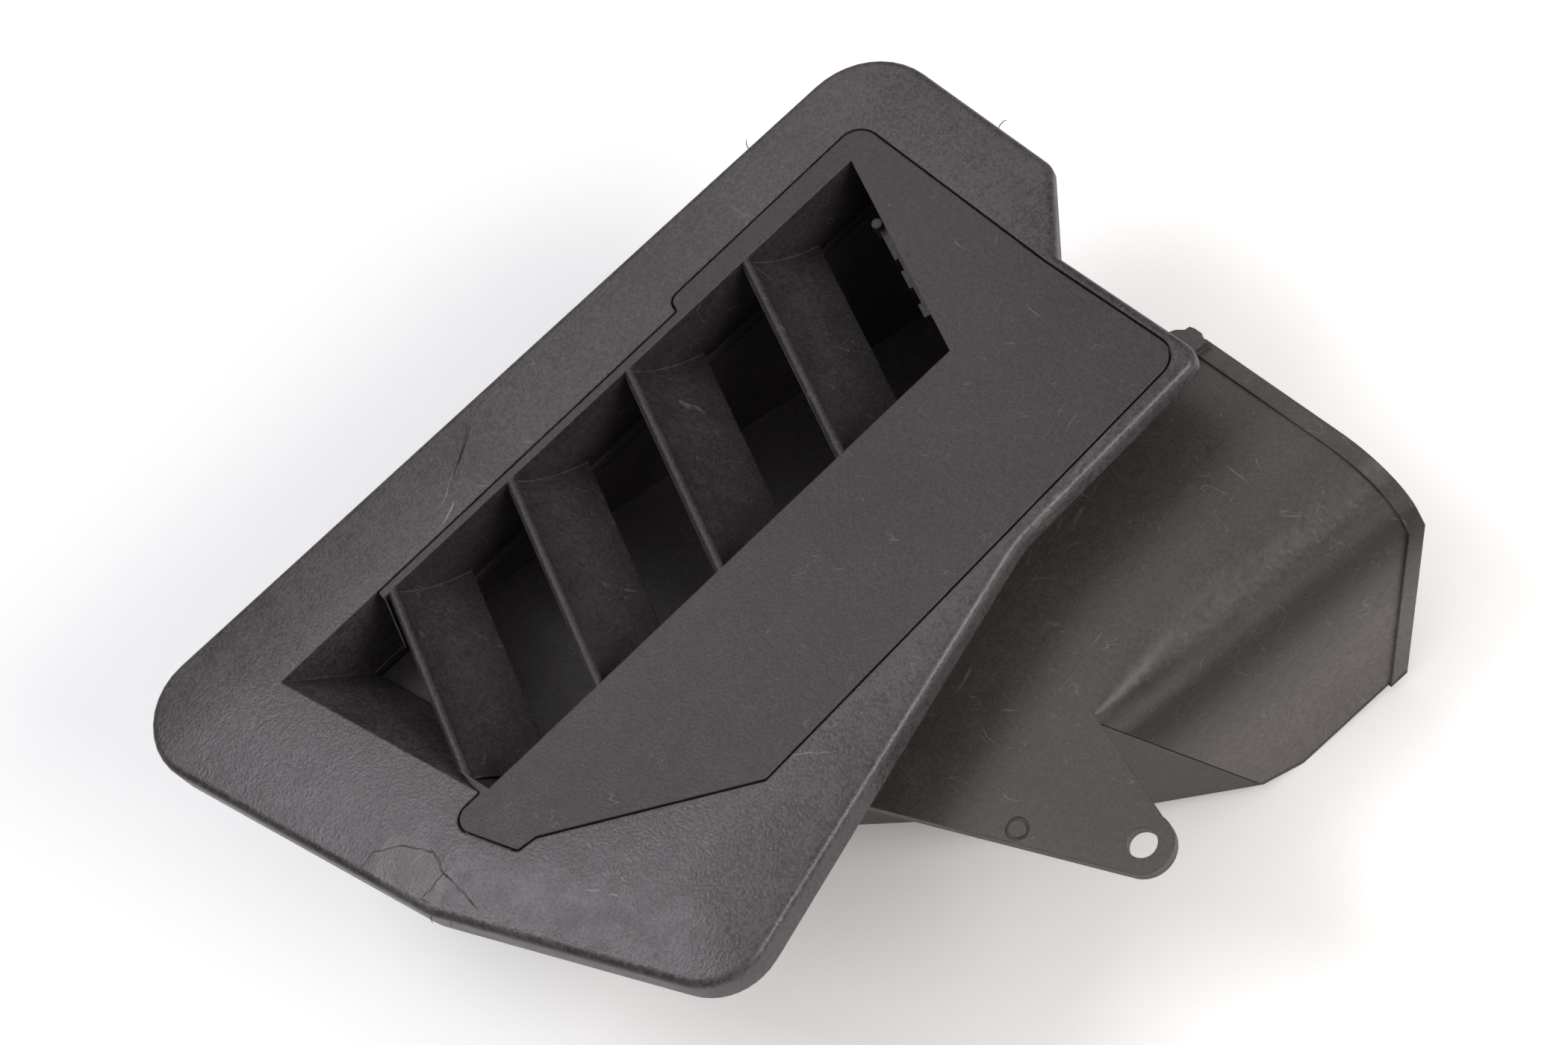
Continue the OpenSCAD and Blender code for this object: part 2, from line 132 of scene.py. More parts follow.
# A mark on the face reaches this far in, and half of its drawn length is this share of the whole
MARK_DEPTH_MM = 6.0
MARK_REACH = 0.56

# Start, end and half width
PALE_MARKS = [
    ((-52.6, 69.8), (-33.8, 53.3), 0.16),
    ((-45.9, 185.6), (-55.0, 178.4), 0.16),
    ((-53.5, 179.4), (-64.4, 171.8), 0.15),
    ((-96.7, 71.7), (-93.5, 68.7), 0.22),
    ((-92.9, 66.6), (-91.4, 64.3), 0.22),
    ((-88.6, 67.8), (-87.9, 65.9), 0.2),
    ((-101.5, 103.6), (-95.0, 103.3), 0.3),
    ((-126.4, 98.0), (-124.6, 98.6), 0.3),
    ((-60.0, 171.0), (-66.5, 168.5), 0.3),
]
CRACKS = [
    ((-131.8, 115.3), (-126.0, 116.0), 0.14),
    ((-127.4, 116.2), (-120.0, 111.2), 0.16),
    ((-121.2, 112.2), (-115.9, 104.2), 0.2),
    ((-116.2, 106.2), (-117.8, 98.0), 0.32),
    ((-117.6, 100.0), (-117.0, 86.6), 0.22),
    ((-116.6, 99.2), (-126.4, 98.6), 0.17),
    ((-84.0, 166.4), (-62.0, 166.0), 0.16),
    ((-66.0, 166.2), (-40.0, 166.2), 0.22),
    ((-44.0, 165.9), (-14.0, 166.0), 0.16),
    ((-18.0, 165.8), (4.0, 166.3), 0.2),
]
SCUFFS = [
    ((24.0, 60.4), (46.0, 65.2), 1.5),
    ((34.0, 63.0), (60.0, 67.6), 1.0),
    ((-104.0, 124.0), (-96.0, 118.0), 1.6),
]
# Where the skin of the panel is patched: middle and half sizes
PATCH = ((-124.0, 105.0), (8.6, 11.4))

# The raised scratch, then torn flash and whiskers: places along each and its half width
RAISED_MARKS = [
    (
        [
            (-45.7, 185.4, 23.7),
            (-49.5, 182.2, 23.7),
            (-53.3, 179.3, 23.7),
            (-57.0, 177.0, 23.7),
            (-59.6, 175.2, 23.7),
            (-62.0, 173.6, 23.7),
            (-64.1, 172.1, 23.7),
        ],
        0.22,
    ),
    ([(48.0, 190.4, 19.6), (47.7, 191.6, 20.0), (48.1, 192.8, 20.6), (48.9, 193.5, 21.0)], 0.13),
    ([(91.2, 147.8, 19.8), (92.4, 148.3, 20.0), (93.6, 148.2, 20.4), (94.3, 147.6, 20.6)], 0.13),
    ([(-126.0, 96.4, 19.4), (-126.8, 95.0, 19.6), (-127.0, 93.8, 19.8)], 0.12),
    ([(-123.2, 92.2, 19.4), (-123.6, 91.0, 19.8), (-124.2, 89.8, 20.0)], 0.12),
    ([(-125.4, 98.6, 23.2), (-125.0, 97.6, 23.6), (-124.6, 96.9, 23.7)], 0.14),
    ([(-102.8, 92.4, 22.6), (-104.0, 93.6, 22.9), (-104.9, 95.4, 22.6)], 0.3),
    ([(-105.0, 96.0, 22.8), (-106.0, 97.6, 22.5), (-106.6, 99.2, 22.7)], 0.26),
]

# Hairline scratches all over: heading in degrees, length, gap between them, and a seed
HAIRLINES = [(18.0, 46.0, 3.2, 1.0), (-49.0, 40.0, 3.6, 2.0), (97.0, 30.0, 5.0, 3.0)]
# How far from the middle level of the noise a scratch still shows
HAIRLINE_WIDTH = 0.004


# Patterns

# The real grain is about 0.1 mm. It is drawn at 0.75 mm and 1.7 mm, or it would not show.
FINE_GRAIN_MM, COARSE_GRAIN_MM = 0.75, 1.7
CLOUDS_MM, MOTTLE_MM = 46.0, 6.0
LEATHER_MM = 1.9
DUST_GAP_MM = 5.0
SCRATCH_PATCHES_MM = 9.0
SCUFF_GRAIN_MM = 1.6
WOBBLE_MM, WOBBLE_PERIOD_MM = 1.4, 2.6
ROUNDED_CORNER_MM = 0.6
# Shares that make up the grain and the tone; the last is how much of the scratches shows
FINE_SHARE, COARSE_SHARE = 0.6, 0.4
CLOUDS_SHARE, MOTTLE_SHARE, GRAIN_SHARE = 0.26, 0.14, 0.60
SCRATCHING = 0.3


def lumps(tree, place, period_mm, detail=2.0, roughness=0.5, turn_deg=0.0, stretch=1.0):
    """Noise whose lumps are about period_mm across, drawn out along one heading if asked."""
    per_lump = 1 / (period_mm * MM)
    mapped = add(
        tree,
        "Mapping",
        {
            "Vector": place,
            "Rotation": (0, 0, math.radians(turn_deg)),
            "Scale": (per_lump / stretch, per_lump, per_lump),
        },
    )
    return add(
        tree,
        "TexNoise",
        {"Vector": mapped, "Scale": 1.0, "Detail": detail, "Roughness": roughness},
    )


def hairlines(tree, place, heading_deg, length_mm, gap_mm, seed):
    """Fine scratches along one heading: level lines of a drawn-out noise, shown in patches."""
    mapped = add(
        tree,
        "Mapping",
        {
            "Vector": place,
            "Location": (seed, seed * 0.7, 0),
            "Rotation": (0, 0, math.radians(heading_deg)),
            "Scale": (length_mm * MM, gap_mm * MM, gap_mm * 4 * MM),
        },
        vector_type="TEXTURE",
    )
    level = add(
        tree, "TexNoise", {"Vector": mapped, "Scale": 1.0, "Detail": 1.0, "Roughness": 0.4}
    )
    off_line = add(tree, "Math", [level, 0.5], operation="SUBTRACT")
    off_line = add(tree, "Math", [off_line], operation="ABSOLUTE")
    line = add(
        tree, "MapRange", [off_line, HAIRLINE_WIDTH * 0.3, HAIRLINE_WIDTH, 1.0, 0.0], **SMOOTH
    )
    patches = lumps(tree, place, SCRATCH_PATCHES_MM, turn_deg=heading_deg)
    shown = add(tree, "MapRange", [patches, 0.53, 0.62, 0.0, 1.0], **SMOOTH)
    return add(tree, "Math", [line, shown], operation="MULTIPLY")


def oval(tree, place, middle, half_sizes, turn=0.0):
    """A soft oval on the face of the panel: 1 in its middle and 0 at its rim, in millimetres."""
    mapped = add(
        tree,
        "Mapping",
        {
            "Vector": place,
            "Location": (middle[0] * MM, middle[1] * MM, FACE_Z_MM * MM),
            "Rotation": (0, 0, turn),
            "Scale": (half_sizes[0] * MM, half_sizes[1] * MM, MARK_DEPTH_MM * MM),
        },
        vector_type="TEXTURE",
    )
    return add(tree, "TexGradient", [mapped], "Fac", gradient_type="SPHERICAL")


def streak(tree, place, start, end, half_width):
    """A mark from start to end, in millimetres, that tapers at both ends."""
    along = Vector(end) - Vector(start)
    middle = (Vector(start) + Vector(end)) / 2
    half_sizes = (along.length * MARK_REACH, half_width)
    return oval(tree, place, middle, half_sizes, math.atan2(along.y, along.x))


def wobbled(tree, place):
    """The place, shifted a little from spot to spot, so that what is drawn by it runs unevenly."""
    shift = add(
        tree,
        "TexNoise",
        {"Vector": place, "Scale": 1 / (WOBBLE_PERIOD_MM * MM), "Detail": 3.0, "Roughness": 0.6},
        "Color",
    )
    span = (WOBBLE_MM * MM,) * 3
    half = (WOBBLE_MM / 2 * MM,) * 3
    moved = add(tree, "VectorMath", [shift, span, place], operation="MULTIPLY_ADD")
    return add(tree, "VectorMath", [moved, half], operation="SUBTRACT")


def plastic_tone(tree, place, dark, light):
    """Colour of the plastic before any mark: clouds, mottle and the grain of the mould."""
    mottle = lumps(tree, place, MOTTLE_MM, 3.0, 0.6)
    fine = lumps(tree, place, FINE_GRAIN_MM, 1.0, 0.6)
    coarse = lumps(tree, place, COARSE_GRAIN_MM, 2.0, 0.6)
    grain = sum_of(tree, 0.0, (fine, FINE_SHARE), (coarse, COARSE_SHARE))
    clouds = lumps(tree, place, CLOUDS_MM, 3.0)
    parts = (clouds, CLOUDS_SHARE), (mottle, MOTTLE_SHARE), (grain, GRAIN_SHARE)
    tone = sum_of(tree, 0.0, *parts)
    share = add(tree, "MapRange", [tone, 0.40, 0.60, 0.0, 1.0], **SMOOTH)
    mixed = {SHARE: share, FIRST: dark, SECOND: light}
    return add(tree, "Mix", mixed, BLEND, data_type="RGBA"), mottle, grain


def painted_shade_by_height(tree, place, stops):
    """Painted shade and painted light: how light the plastic is painted at each height. The stops
    are heights in mm and factors.
    """
    height = add(tree, "SeparateXYZ", [place], "Z")
    result = stops[0][1]
    for (low, before), (high, after) in zip(stops, stops[1:]):
        step = [height, low * MM, high * MM, 0.0, after - before]
        step = add(tree, "MapRange", step, **SMOOTH)
        result = add(tree, "Math", [result, step], operation="ADD")
    return result


def worn_and_highlit_edges(tree, mottle):
    """Normals rounded over the sharp corners, and a broken mask of those corners, which the
    plastic uses to paint them pale: partly rubbed wear and partly a painted highlight.
    """
    rounded = add(tree, "Bevel", {"Radius": ROUNDED_CORNER_MM * MM}, samples=4)
    flat = add(tree, "NewGeometry", out="Normal")
    same_way = add(tree, "VectorMath", [rounded, flat], "Value", operation="DOT_PRODUCT")
    corner = add(tree, "MapRange", [same_way, 0.80, 0.985, 1.0, 0.0], **SMOOTH)
    broken = add(tree, "MapRange", [mottle, 0.36, 0.62, 0.35, 1.0], **SMOOTH)
    return rounded, add(tree, "Math", [corner, broken], operation="MULTIPLY")


def dust_of(tree, place):
    """Sparse pale specks caught in the grain."""
    cells = {"Vector": place, "Scale": 1 / (DUST_GAP_MM * MM), "Randomness": 1.0}
    distance = add(tree, "TexVoronoi", cells, "Distance")
    chance = distance.node.outputs["Color"]
    speck = add(tree, "MapRange", [distance, 0.02, 0.05, 1.0, 0.0], **SMOOTH)
    some = add(tree, "MapRange", [chance, 0.62, 0.8, 0.0, 1.0], **SMOOTH)
    return add(tree, "Math", [speck, some], operation="MULTIPLY")


def leather_of(tree, place, none_mm, full_mm):
    """Leather-like grain, from the height with none of it to the height where it is full."""
    cells = {"Vector": place, "Scale": 1 / (LEATHER_MM * MM), "Randomness": 1.0}
    cells = add(tree, "TexVoronoi", cells, "Distance", feature="SMOOTH_F1")
    height = add(tree, "SeparateXYZ", [place], "Z")
    etched = add(tree, "MapRange", [height, none_mm * MM, full_mm * MM, 0.0, 1.0], **SMOOTH)
    return add(tree, "Math", [cells, etched], operation="MULTIPLY")


def handling_marks(tree, place, wobbly, mottle):
    """What pales the panel in places: scratches, scuffs and the patch of rubbed skin."""
    scratches = most_of(tree, [streak(tree, wobbly, *mark) for mark in PALE_MARKS])
    scratches = add(tree, "MapRange", [scratches, 0.0, 0.5, 0.0, 1.0], **SMOOTH)
    scuffs = most_of(tree, [streak(tree, place, *scuff) for scuff in SCUFFS])
    scuffs = add(tree, "MapRange", [scuffs, 0.0, 0.8, 0.0, 1.0], **SMOOTH)
    broken = lumps(tree, place, SCUFF_GRAIN_MM, 3.0, 0.75, turn_deg=20.0, stretch=3.0)
    broken = add(tree, "MapRange", [broken, 0.42, 0.66, 0.02, 0.15], **SMOOTH)
    patch = sum_of(tree, oval(tree, place, *PATCH), (mottle, MOTTLE_SHARE))
    return [
        add(tree, "Math", [scratches, SCRATCHING], operation="MULTIPLY"),
        add(tree, "Math", [scuffs, broken], operation="MULTIPLY"),
        add(tree, "MapRange", [patch, 0.10, 0.18, 0.0, 0.05], **SMOOTH),
    ]


# Materials

POLYPROPYLENE_IOR = 1.49
# Specular level of the open surface, and the lower level painted in as shade on the deepest parts,
# which little light reaches
GLOSS, PAINTED_SHADE_GLOSS = 0.5, 0.22
GLOSS_TINT, CRACK_COLOUR = "fffafb", "0c0b0c"
# How much of the dust and the cracks shows
DUST, CRACKING = 0.3, 0.6
# Full height of the relief, then the share of it that each pattern raises or, below 0, cuts in
RELIEF_MM = 0.3
MOTTLE_RELIEF, HAIRLINE_RELIEF, LEATHER_RELIEF, CRACK_RELIEF = 0.08, -0.05, -0.30, -0.5
# How far the roughness strays with the mottle, and how much pale marks add to it
ROUGH_SPREAD, ROUGH_MARKS = 0.04, 0.12


def moulded_plastic(
    name, kind, edge_wear_and_highlight, rough, relief, scratched=0.10, painted_shade_stops=(), leather=(), marked=False
):
    """Injection-moulded black polypropylene.

    A spark-eroded mould leaves a fine matt grain, the black is a warm dark grey where light skims
    it, and handling leaves pale hairlines and dust in the grain. The edges are painted pale,
    partly as rubbed wear and partly as a painted highlight, and where height stops are given,
    shade and light are painted by height. The amounts for the edges, the relief and the scratches
    say how much of the edges, the grain and the hairlines shows.
    """
    colours = bpy.context.scene.vent_colours
    dark, light = (tuple(getattr(colours, kind + end)) for end in ("_dark", "_light"))
    material, tree, place = blank_material(name)
    base, mottle, grain = plastic_tone(tree, place, dark, light)
    rounded, edge = worn_and_highlit_edges(tree, mottle)
    wobbly = wobbled(tree, place)
    lines = most_of(tree, [hairlines(tree, place, *way) for way in HAIRLINES])
    pale = [
        add(tree, "Math", [lines, scratched], operation="MULTIPLY"),
        add(tree, "Math", [dust_of(tree, place), DUST], operation="MULTIPLY"),
        # Pale edges: partly rubbed wear and partly a painted highlight
        add(tree, "Math", [edge, edge_wear_and_highlight], operation="MULTIPLY"),
    ]
    heights = [(grain, relief), (mottle, MOTTLE_RELIEF), (lines, HAIRLINE_RELIEF)]
    if marked:
        pale += handling_marks(tree, place, wobbly, mottle)
    if leather:
        heights.append((leather_of(tree, place, *leather), LEATHER_RELIEF))
    gloss = GLOSS
    # Painted shade and painted light: the colour and the specular level are scaled by height
    if painted_shade_stops:
        painted_shade_factor = painted_shade_by_height(tree, place, painted_shade_stops)
        base = add(tree, "VectorMath", {0: base, "Scale": painted_shade_factor}, operation="SCALE")
        gloss = add(tree, "MapRange", [painted_shade_factor, 0.35, 1.0, PAINTED_SHADE_GLOSS, GLOSS], **SMOOTH)
    bright = most_of(tree, pale)
    mixed = {SHARE: bright, FIRST: base, SECOND: tuple(colours.scratch_and_highlight)}
    colour = add(tree, "Mix", mixed, BLEND, data_type="RGBA")
    if marked:
        split = most_of(tree, [streak(tree, wobbly, *crack) for crack in CRACKS])
        split = add(tree, "MapRange", [split, 0.0, 0.45, 0.0, 1.0], **SMOOTH)
        share = add(tree, "Math", [split, CRACKING], operation="MULTIPLY")
        mixed = {SHARE: share, FIRST: colour, SECOND: linear(CRACK_COLOUR)}
        colour = add(tree, "Mix", mixed, BLEND, data_type="RGBA")
        heights.append((split, CRACK_RELIEF))
    matt = [mottle, 0.3, 0.7, rough - ROUGH_SPREAD, rough + ROUGH_SPREAD]
    matt = add(tree, "MapRange", matt, **SMOOTH)
    bump = add(
        tree,
        "Bump",
        {
            "Strength": 1.0,
            "Distance": RELIEF_MM * MM,
            "Height": sum_of(tree, 0.0, *heights),
            "Normal": rounded,
        },
    )
    shader = add(
        tree,
        "BsdfPrincipled",
        {
            "Base Color": colour,
            "Roughness": sum_of(tree, matt, (bright, ROUGH_MARKS)),
            "IOR": POLYPROPYLENE_IOR,
            "Specular IOR Level": gloss,
            "Specular Tint": linear(GLOSS_TINT),
            "Normal": bump,
        },
    )
    add(tree, "OutputMaterial", {"Surface": shader})
    return material


def zinc_plated_steel():
    """Bright zinc on a rolled steel screw: a cold grey metal with a dull, patchy bloom."""
    material, tree, place = blank_material("zinc_plated_steel")
    bloom = lumps(tree, place, 2.4, 3.0, 0.6)
    share = add(tree, "MapRange", [bloom, 0.35, 0.7, 0.0, 1.0], **SMOOTH)
    mixed = {SHARE: share, FIRST: linear("8a8b8e"), SECOND: linear("b4b5b6")}
    # the crystals of zinc are under 0.1 mm; they are drawn at 0.35 mm
    crystals = lumps(tree, place, 0.35, 2.0, 0.6)
    bump = add(tree, "Bump", {"Strength": 0.6, "Distance": 0.05 * MM, "Height": crystals})
    shader = add(
        tree,
        "BsdfPrincipled",
        {
            "Base Color": add(tree, "Mix", mixed, BLEND, data_type="RGBA"),
            "Metallic": 1.0,
            "Roughness": add(tree, "MapRange", [bloom, 0.3, 0.7, 0.28, 0.46], **SMOOTH),
            "Normal": bump,
        },
    )
    add(tree, "OutputMaterial", {"Surface": shader})
    return material


# Pieces

WELD_MM = 0.002
RIDGE_SIDES = 8
# Least radius of a ridge, at its pinched ends, as a share of its own
PINCH = 0.25


def placed(bm, name, material):
    """The finished mesh as an object that belongs to the part."""
    mesh = bpy.data.meshes.new(name)
    bm.to_mesh(mesh)
    bm.free()
    mesh.materials.append(material)
    piece = bpy.data.objects.new(name, mesh)
    bpy.context.scene.collection.objects.link(piece)
    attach(piece, "root")
    return piece


def dressed(node, name, material, sharp_deg=27.0):
    """A merged, smooth-shaded copy of a CAD node, which it stands for."""
    bm = bmesh.new()
    bm.from_mesh(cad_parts[node].data)
    bmesh.ops.remove_doubles(bm, verts=bm.verts, dist=WELD_MM * MM)
    bmesh.ops.dissolve_degenerate(bm, edges=bm.edges, dist=WELD_MM / 2 * MM)
    for face in bm.faces:
        face.smooth = True
        face.material_index = 0
    sharp = math.radians(sharp_deg)
    for edge in bm.edges:
        edge.smooth = len(edge.link_faces) == 2 and edge.calc_face_angle(0.0) < sharp
    piece = placed(bm, name, material)
    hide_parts(node)
    return piece


def ridge(bm, points, radius_mm):
    """A thin raised burr along points in millimetres, pinched at both ends."""
    last = len(points) - 1
    ring_before = []
    for i, point in enumerate(points):
        ahead = Vector(points[min(i + 1, last)]) - Vector(points[max(i - 1, 0)])
        turn = ahead.to_track_quat("Z", "Y").to_matrix().to_4x4()
        swell = math.sin(math.pi * (i + 0.35) / (last + 0.7)) ** 0.5
        ring = bmesh.ops.create_circle(
            bm,
            cap_ends=i in (0, last),
            segments=RIDGE_SIDES,
            radius=radius_mm * max(swell, PINCH) * MM,
            matrix=Matrix.Translation(Vector(point) * MM) @ turn,
        )["verts"]
        if ring_before:
            rims = {e for v in ring_before + ring for e in v.link_edges if len(e.link_faces) < 2}
            bmesh.ops.bridge_loops(bm, edges=list(rims))
        ring_before = ring


# Sizes and colours that a user would change


class VentColours(bpy.types.PropertyGroup):
    """Colours of the finishes."""

    panel_dark: bpy.props.FloatVectorProperty(
        name="Panel Dark",
        description="Darkest tone of the panel",
        default=linear("322e30"),
        size=4,
        subtype="COLOR",
    )
    panel_light: bpy.props.FloatVectorProperty(
        name="Panel Light",
        description="Lightest tone of the panel",
        default=linear("4b4648"),
        size=4,
        subtype="COLOR",
    )
    insert_dark: bpy.props.FloatVectorProperty(
        name="Insert Dark",
        description="Darkest tone of the insert",
        default=linear("2a2628"),
        size=4,
        subtype="COLOR",
    )
    insert_light: bpy.props.FloatVectorProperty(
        name="Insert Light",
        description="Lightest tone of the insert",
        default=linear("393435"),
        size=4,
        subtype="COLOR",
    )
    duct_dark: bpy.props.FloatVectorProperty(
        name="Duct Dark",
        description="Darkest tone of the duct",
        default=linear("3b3837"),
        size=4,
        subtype="COLOR",
    )
    duct_light: bpy.props.FloatVectorProperty(
        name="Duct Light",
        description="Lightest tone of the duct",
        default=linear("484442"),
        size=4,
        subtype="COLOR",
    )
    # The same pale tone paints the edges: partly rubbed wear and partly a painted highlight
    scratch_and_highlight: bpy.props.FloatVectorProperty(
        name="Scratch",
        description="Tone of scratches and dust",
        default=linear("b9b6b2"),
        size=4,
        subtype="COLOR",
    )


class VentStage(bpy.types.PropertyGroup):
    """Place of the camera and strength of the lights."""

    camera_at: bpy.props.FloatVectorProperty(
        name="Camera Place",
        description="Where the camera stands",
        default=(-0.04608, -0.32174, 0.73877),
        subtype="TRANSLATION",
        unit="LENGTH",
    )
    camera_turn: bpy.props.FloatVectorProperty(
        name="Camera Turn",
        description="How the camera is turned",
        default=tuple(math.radians(a) for a in (25.2452, 18.6160, -39.1039)),
        subtype="EULER",
        unit="ROTATION",
    )
    lens: bpy.props.FloatProperty(
        name="Lens", description="Focal length in millimetres", default=85.0, unit="CAMERA"
    )
    key_power: bpy.props.FloatProperty(
        name="Key Power",
        description="Power of the lamp that the panel mirrors",
        default=3.4,
        unit="POWER",
    )
    top_power: bpy.props.FloatProperty(
        name="Top Power",
        description="Power of the wide lamp overhead",
        default=2.6,
        unit="POWER",
    )
    fill_power: bpy.props.FloatProperty(
        name="Fill Power",
        description="Power of the low lamp in front",
        default=11.0,
        unit="POWER",
    )
    back_power: bpy.props.FloatProperty(
        name="Back Power",
        description="Power of the wide lamp behind",
        default=2.7,
        unit="POWER",
    )
    sky: bpy.props.FloatProperty(
        name="Sky", description="Strength of the light from overhead", default=0.42
    )
    horizon: bpy.props.FloatProperty(
        name="Horizon", description="Strength of the light from all round", default=0.15
    )


# The vent


class VENT_OT_face_panel(bpy.types.Operator):
    """Face panel with its rolled edge, marks and scuffs"""

    bl_idname = "vent.face_panel"
    bl_label = "Face Panel"

    def execute(self, context):
        material = moulded_plastic(
            "polypropylene_panel", "panel", edge_wear_and_highlight=0.09, rough=0.34, relief=0.42, marked=True
        )
        dressed("face_panel", "panel_moulding", material)
        bm = bmesh.new()
        for places, half_width in RAISED_MARKS:
            ridge(bm, places, half_width)
        for face in bm.faces:
            face.smooth = True
        bmesh.ops.recalc_face_normals(bm, faces=bm.faces)
        placed(bm, "panel_burr", material)
        return {"FINISHED"}


class VENT_OT_louvre(bpy.types.Operator):
    """Flush insert with its slanted vanes"""

    bl_idname = "vent.louvre"
    bl_label = "Louvre Insert"

    def execute(self, context):
        material = moulded_plastic(
            "polypropylene_insert",
            "insert",
            edge_wear_and_highlight=0.14,
            rough=0.46,
            relief=0.60,
            # Painted shade: the vanes are painted darker the deeper they lie, from full tone at 15
            # mm down to 0.35 at 2 mm
            painted_shade_stops=((2.0, 0.35), (15.0, 1.05)),
        )
        dressed("louvre_insert", "louvre_moulding", material, 40.0)
        return {"FINISHED"}


class VENT_OT_upper_shell(bpy.types.Operator):
    """Upper duct shell with its ear, shoulder and lip"""

    bl_idname = "vent.upper_shell"
    bl_label = "Upper Duct Shell"

    def execute(self, context):
        material = moulded_plastic(
            "polypropylene_upper_shell",
            "duct",
            edge_wear_and_highlight=0.09,
            rough=0.40,
            relief=0.12,
            scratched=0.12,
            # Painted shade and painted light: a dark band painted under the shoulder, the crest
            # painted dimmer, and the wall painted lighter towards its foot
            painted_shade_stops=((-52.0, 1.8), (-16.0, 0.4), (-9.0, 0.85), (-3.5, 0.6), (-0.6, 1.0)),
            leather=(-0.4, -3.5),
        )
        dressed("upper_duct_shell", "upper_shell_moulding", material)
        return {"FINISHED"}


class VENT_OT_lower_shell(bpy.types.Operator):
    """Lower duct shell behind the louvre"""

    bl_idname = "vent.lower_shell"
    bl_label = "Lower Duct Shell"

    def execute(self, context):
        material = moulded_plastic(
            "polypropylene_lower_shell", "duct", edge_wear_and_highlight=0.05, rough=0.5, relief=0.16
        )
        dressed("lower_duct_shell", "lower_shell_moulding", material)
        return {"FINISHED"}


class VENT_OT_screws(bpy.types.Operator):
    """Tapping screws that hold the shells to the panel"""

    bl_idname = "vent.screws"
    bl_label = "Fixing Screws"

    def execute(self, context):
        dressed("fixing_screws", "screws_zinc", zinc_plated_steel(), 30.0)
        return {"FINISHED"}


# The studio

# Half of the floor's side
FLOOR_HALF = 6.0
# What the part sees of the paper, and the whiter paper that the camera sees
PAPER, PAPER_SEEN = linear("f2f2f2"), (1.22, 1.22, 1.22, 1.0)
# The seen paper turns plain white between these distances from the ear hole
FADE_START, FADE_END = 0.32, 0.8
MIDDLE = (-0.03, 0.09, 0.0)
# Where each lamp stands, what it faces, its side and its colour
LAMPS = {
    "key": ((-0.36, 0.52, 1.0), (-0.1, 0.08, 0.02), 0.42, "f8f8ff"),
    "top": ((-0.05, 0.25, 1.5), MIDDLE, 1.6, "ffffff"),
    "fill": ((0.5, -0.88, 0.68), (0.05, 0.0, -0.03), 0.7, "fffaf6"),
    "back": ((0.25, 1.25, 1.15), MIDDLE, 0.8, "ffffff"),
}


def matt_paper():
    """Uncoated paper, which scatters light evenly and keeps the soft shadow of the part."""
    material, tree, place = blank_material("matt_paper")
    seen = [add(tree, "LightPath", out=ray) for ray in ("Is Camera Ray", "Is Transmission Ray")]
    seen = most_of(tree, seen)
    mixed = {SHARE: seen, FIRST: PAPER, SECOND: PAPER_SEEN}
    tint = add(tree, "Mix", mixed, BLEND, data_type="RGBA")
    paper = add(tree, "BsdfDiffuse", {"Color": tint})
    white = add(tree, "Emission", {"Color": linear("ffffff"), "Strength": 1.0})
    reach = add(tree, "VectorMath", [place], "Value", operation="LENGTH")
    fade = add(tree, "MapRange", [reach, FADE_START, FADE_END, 0.0, 1.0], **SMOOTH)
    fade = add(tree, "Math", [seen, fade], operation="MULTIPLY")
    add(tree, "OutputMaterial", {"Surface": add(tree, "MixShader", [fade, paper, white])})
    return material


def studio_sky(horizon, sky):
    """A tent that is bright overhead and dim at the horizon, and plain white to the camera."""
    world = bpy.data.worlds.new("studio")
    world.use_nodes = True
    tree = world.node_tree
    tree.nodes.clear()
    rise = add(tree, "SeparateXYZ", [add(tree, "TexCoord", out="Generated")], "Z")
    tent = add(tree, "MapRange", [rise, 0.05, 0.95, horizon, sky], **SMOOTH)
    seen = add(tree, "LightPath", out="Is Camera Ray")
    strength = add(tree, "Mix", {0: seen, 2: tent, 3: 1.0}, data_type="FLOAT")
    light = add(tree, "Background", {"Color": linear("ffffff"), "Strength": strength})
    add(tree, "OutputWorld", {"Surface": light})
    return world


def lamp(name, at, towards, side, colour, power):
    """A square soft lamp at one place, turned towards another."""
    data = bpy.data.lights.new(name, "AREA")
    data.shape = "SQUARE"
    data.size = side
    data.energy = power
    data.color = linear(colour)[:3]
    thing = bpy.data.objects.new(name, data)
    thing.location = at
    thing.rotation_euler = (Vector(at) - Vector(towards)).to_track_quat("Z", "Y").to_euler()
    bpy.context.scene.collection.objects.link(thing)


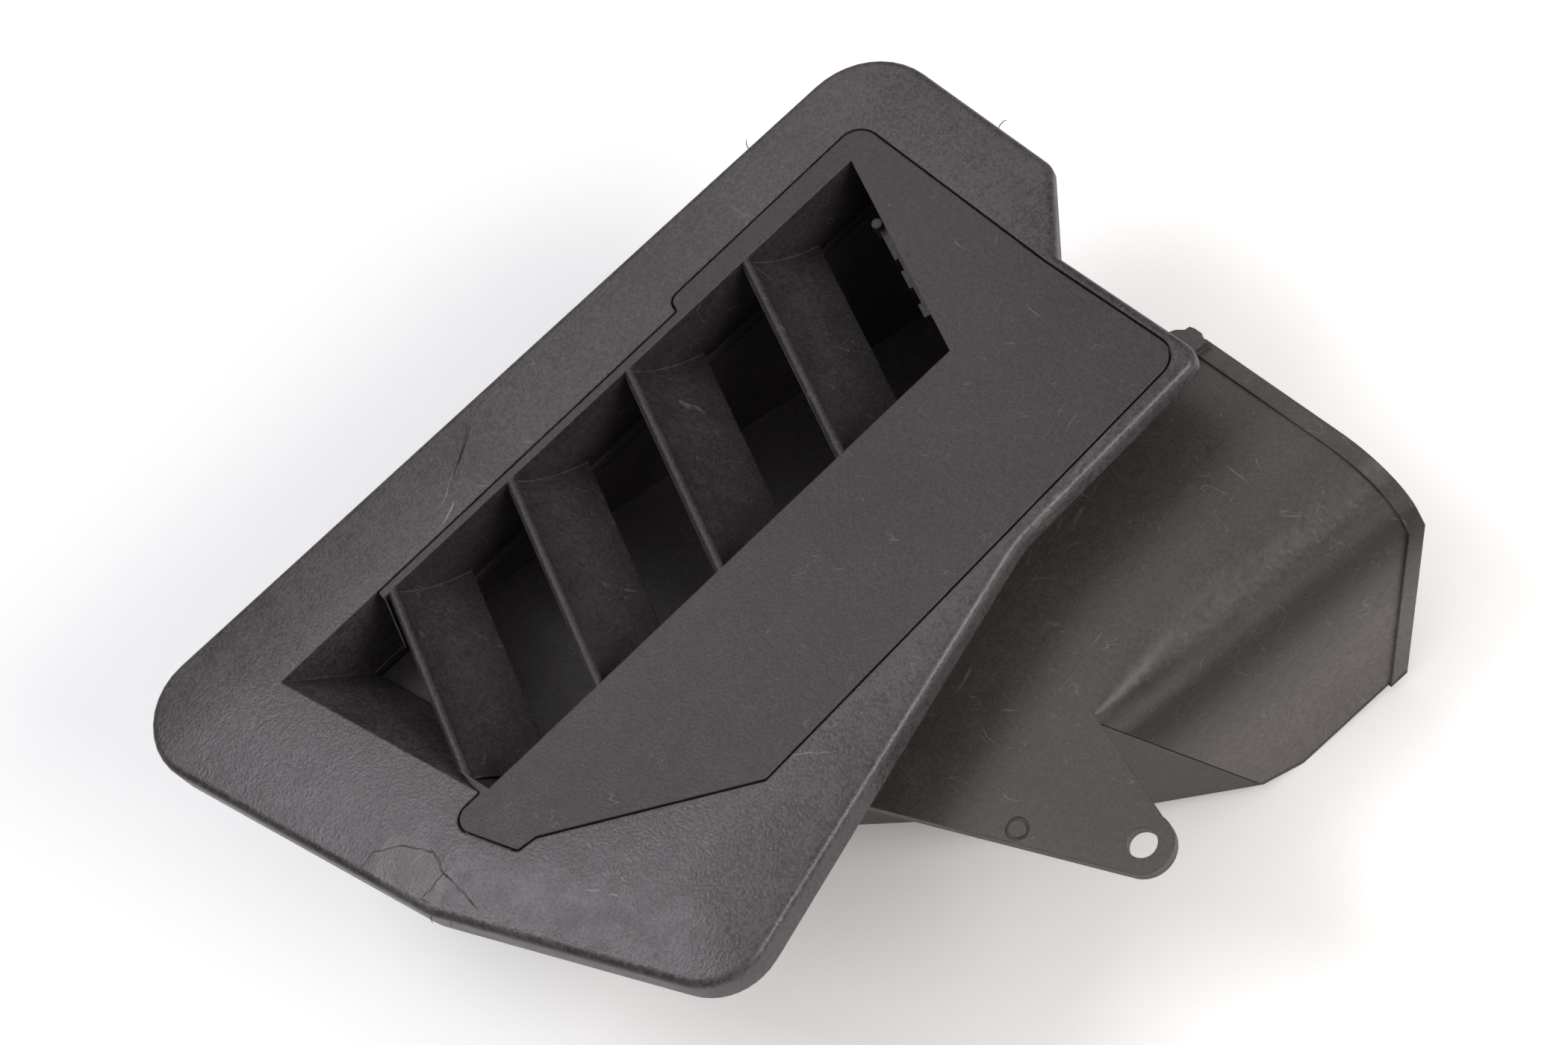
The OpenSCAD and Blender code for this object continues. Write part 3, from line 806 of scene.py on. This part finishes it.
class VENT_OT_stage(bpy.types.Operator):
    """Floor, soft lamps and the camera"""

    bl_idname = "vent.stage"
    bl_label = "Stage"

    def execute(self, context):
        scene = context.scene
        stage = scene.vent_stage
        bm = bmesh.new()
        bmesh.ops.create_grid(bm, x_segments=1, y_segments=1, size=FLOOR_HALF)
        bmesh.ops.translate(bm, verts=bm.verts, vec=(0, 0, CAD_BOX[0][2]))
        mesh = bpy.data.meshes.new("floor")
        bm.to_mesh(mesh)
        bm.free()
        mesh.materials.append(matt_paper())
        floor = bpy.data.objects.new("floor", mesh)
        scene.collection.objects.link(floor)

        scene.world = studio_sky(stage.horizon, stage.sky)
        for name, settings in LAMPS.items():
            lamp(name, *settings, getattr(stage, name + "_power"))

        data = bpy.data.cameras.new("camera")
        data.sensor_width = 36.0
        data.lens = stage.lens
        data.clip_start = 0.01
        camera = bpy.data.objects.new("camera", data)
        camera.location = stage.camera_at
        camera.rotation_euler = stage.camera_turn
        scene.collection.objects.link(camera)
        scene.camera = camera
        scene.view_settings.view_transform = "Standard"
        return {"FINISHED"}


# The add-on

STEPS = ("stage", "face_panel", "louvre", "upper_shell", "lower_shell", "screws")


class VENT_PT_panel(bpy.types.Panel):
    """Lists the pieces and settings of the vent"""

    bl_idname = "VENT_PT_panel"
    bl_label = "Air Intake Vent"
    bl_space_type = "VIEW_3D"
    bl_region_type = "UI"
    bl_category = "Vent"

    def draw(self, context):
        for name in STEPS:
            self.layout.operator("vent." + name)
        for group in (context.scene.vent_colours, context.scene.vent_stage):
            box = self.layout.box()
            for key in group.bl_rna.properties.keys():
                if key not in ("rna_type", "name"):
                    box.prop(group, key)


CLASSES = (
    VentColours,
    VentStage,
    VENT_OT_stage,
    VENT_OT_face_panel,
    VENT_OT_louvre,
    VENT_OT_upper_shell,
    VENT_OT_lower_shell,
    VENT_OT_screws,
    VENT_PT_panel,
)


def register():
    """Makes the pieces, the settings and the sidebar panel known to Blender."""
    for cls in CLASSES:
        bpy.utils.register_class(cls)
    bpy.types.Scene.vent_colours = bpy.props.PointerProperty(type=VentColours)
    bpy.types.Scene.vent_stage = bpy.props.PointerProperty(type=VentStage)


def unregister():
    """Takes them away again."""
    del bpy.types.Scene.vent_stage
    del bpy.types.Scene.vent_colours
    for cls in reversed(CLASSES):
        bpy.utils.unregister_class(cls)


def main():
    """Builds the stage and the pieces in order."""
    register()
    for name in STEPS:
        getattr(bpy.ops.vent, name)()


if __name__ == "__main__":
    main()
